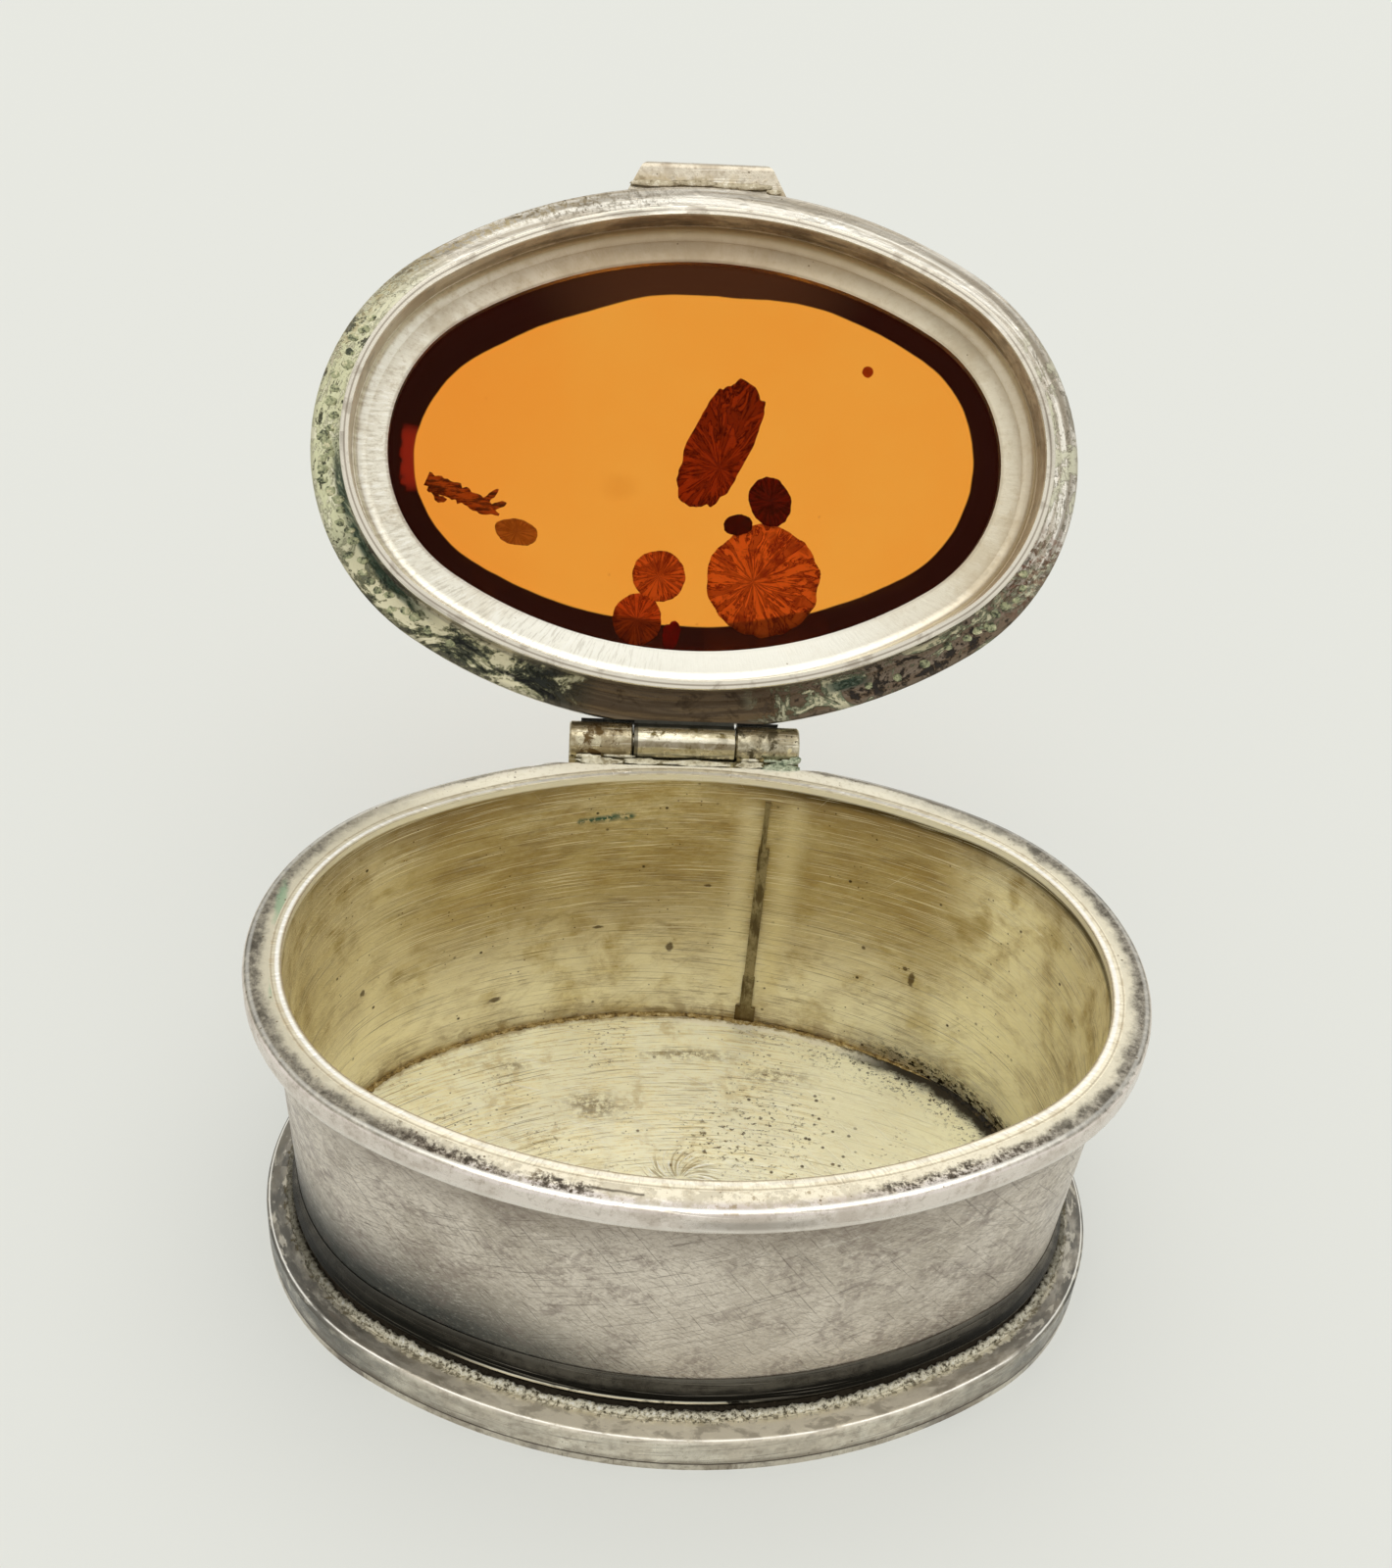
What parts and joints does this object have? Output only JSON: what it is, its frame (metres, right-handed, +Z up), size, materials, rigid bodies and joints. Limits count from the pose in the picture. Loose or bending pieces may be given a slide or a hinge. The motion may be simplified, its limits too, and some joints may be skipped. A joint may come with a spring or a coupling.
{
  "type": "pill box",
  "caption": "Oval hinged pill box of aged silver with moulded rim and foot, and an amber stone set in its lid, shown open.",
  "frame": {"origin": "middle of the underside of the box's foot, which is its mount foot_underside", "axes": "+Z up, +X along the box's length to the right seen from the front, -Y to the front with the thumbpiece; the hinge is at the back, +Y"},
  "size_m": [0.045, 0.0554, 0.0456],
  "materials": {
    "silver": "satin silver with yellow-brown tarnish and fine scratches",
    "dark_silver": "blackened silver",
    "solder": "dull tarnished silver solder",
    "amber": "polished clear amber with inclusions"
  },
  "bodies": {
    "box": {"base_plate": "silver", "foot_ring": "silver", "foot_cove": "dark_silver", "body_wall": "silver", "wall_seam": "solder", "floor_plate": "silver", "rim_collar": "silver", "hinge_bearer": "silver", "box_knuckle_left": "silver", "box_knuckle_right": "silver", "hinge_pin": "dark_silver"},
    "lid": {"lid_knuckle": "silver", "lid_frame": "silver", "lid_lip": "silver", "stone_seat": "silver", "stone_bezel": "silver", "amber_stone": "amber", "thumbpiece": "silver"}
  },
  "joints": [
    {"name": "lid_hinge", "type": "hinge", "parent": "box", "child": "lid", "pos_m": [0, 0.01676, 0.0196], "axis": [-1, 0, 0], "range_deg": [-130, 0]}
  ]
}
